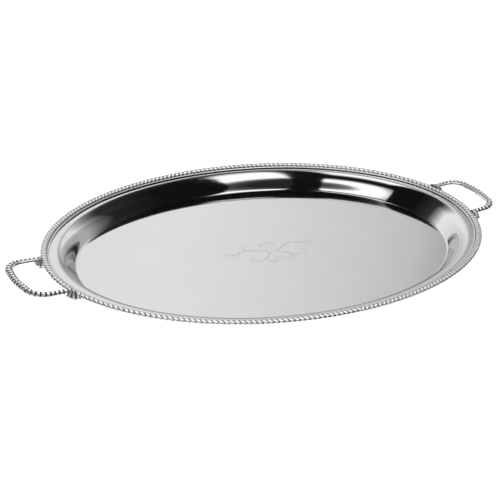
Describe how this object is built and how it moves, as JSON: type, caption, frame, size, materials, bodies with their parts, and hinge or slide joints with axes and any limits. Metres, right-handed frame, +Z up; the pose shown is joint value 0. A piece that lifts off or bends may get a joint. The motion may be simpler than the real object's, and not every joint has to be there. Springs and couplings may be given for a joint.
{
  "type": "oval serving tray",
  "caption": "Large oval serving tray in polished silver, with a gadrooned border and two bow handles.",
  "frame": {"origin": "centre of the flat underside of the well, on the surface the tray rests on", "axes": "+X along the tray's length towards the right-hand handle, +Y across the tray towards the back, +Z up"},
  "size_m": [0.6642, 0.3942, 0.0322],
  "materials": {
    "tray_silver": "mirror polish with fine wear scratches and a faint engraving",
    "border_silver": "polished high points with grey tarnish left in the recesses",
    "handle_silver": "polished casting, smoother where hands hold it",
    "wire_silver": "dulled silver, less polished than the top",
    "solder": "dull cast grey"
  },
  "bodies": {
    "root": {"tray_body": "tray_silver", "edge_wire": "wire_silver", "border_front_right": "border_silver", "border_back_right": "border_silver", "border_back_left": "border_silver", "border_front_left": "border_silver", "fill_front_right": "solder", "fill_back_right": "solder", "fill_back_left": "solder", "fill_front_left": "solder", "handle_right": "handle_silver", "handle_left": "handle_silver", "leaf_right_back": "handle_silver", "leaf_right_front": "handle_silver", "leaf_left_back": "handle_silver", "leaf_left_front": "handle_silver", "lug_right_back": "wire_silver", "lug_right_front": "wire_silver", "lug_left_back": "wire_silver", "lug_left_front": "wire_silver"}
  },
  "joints": []
}
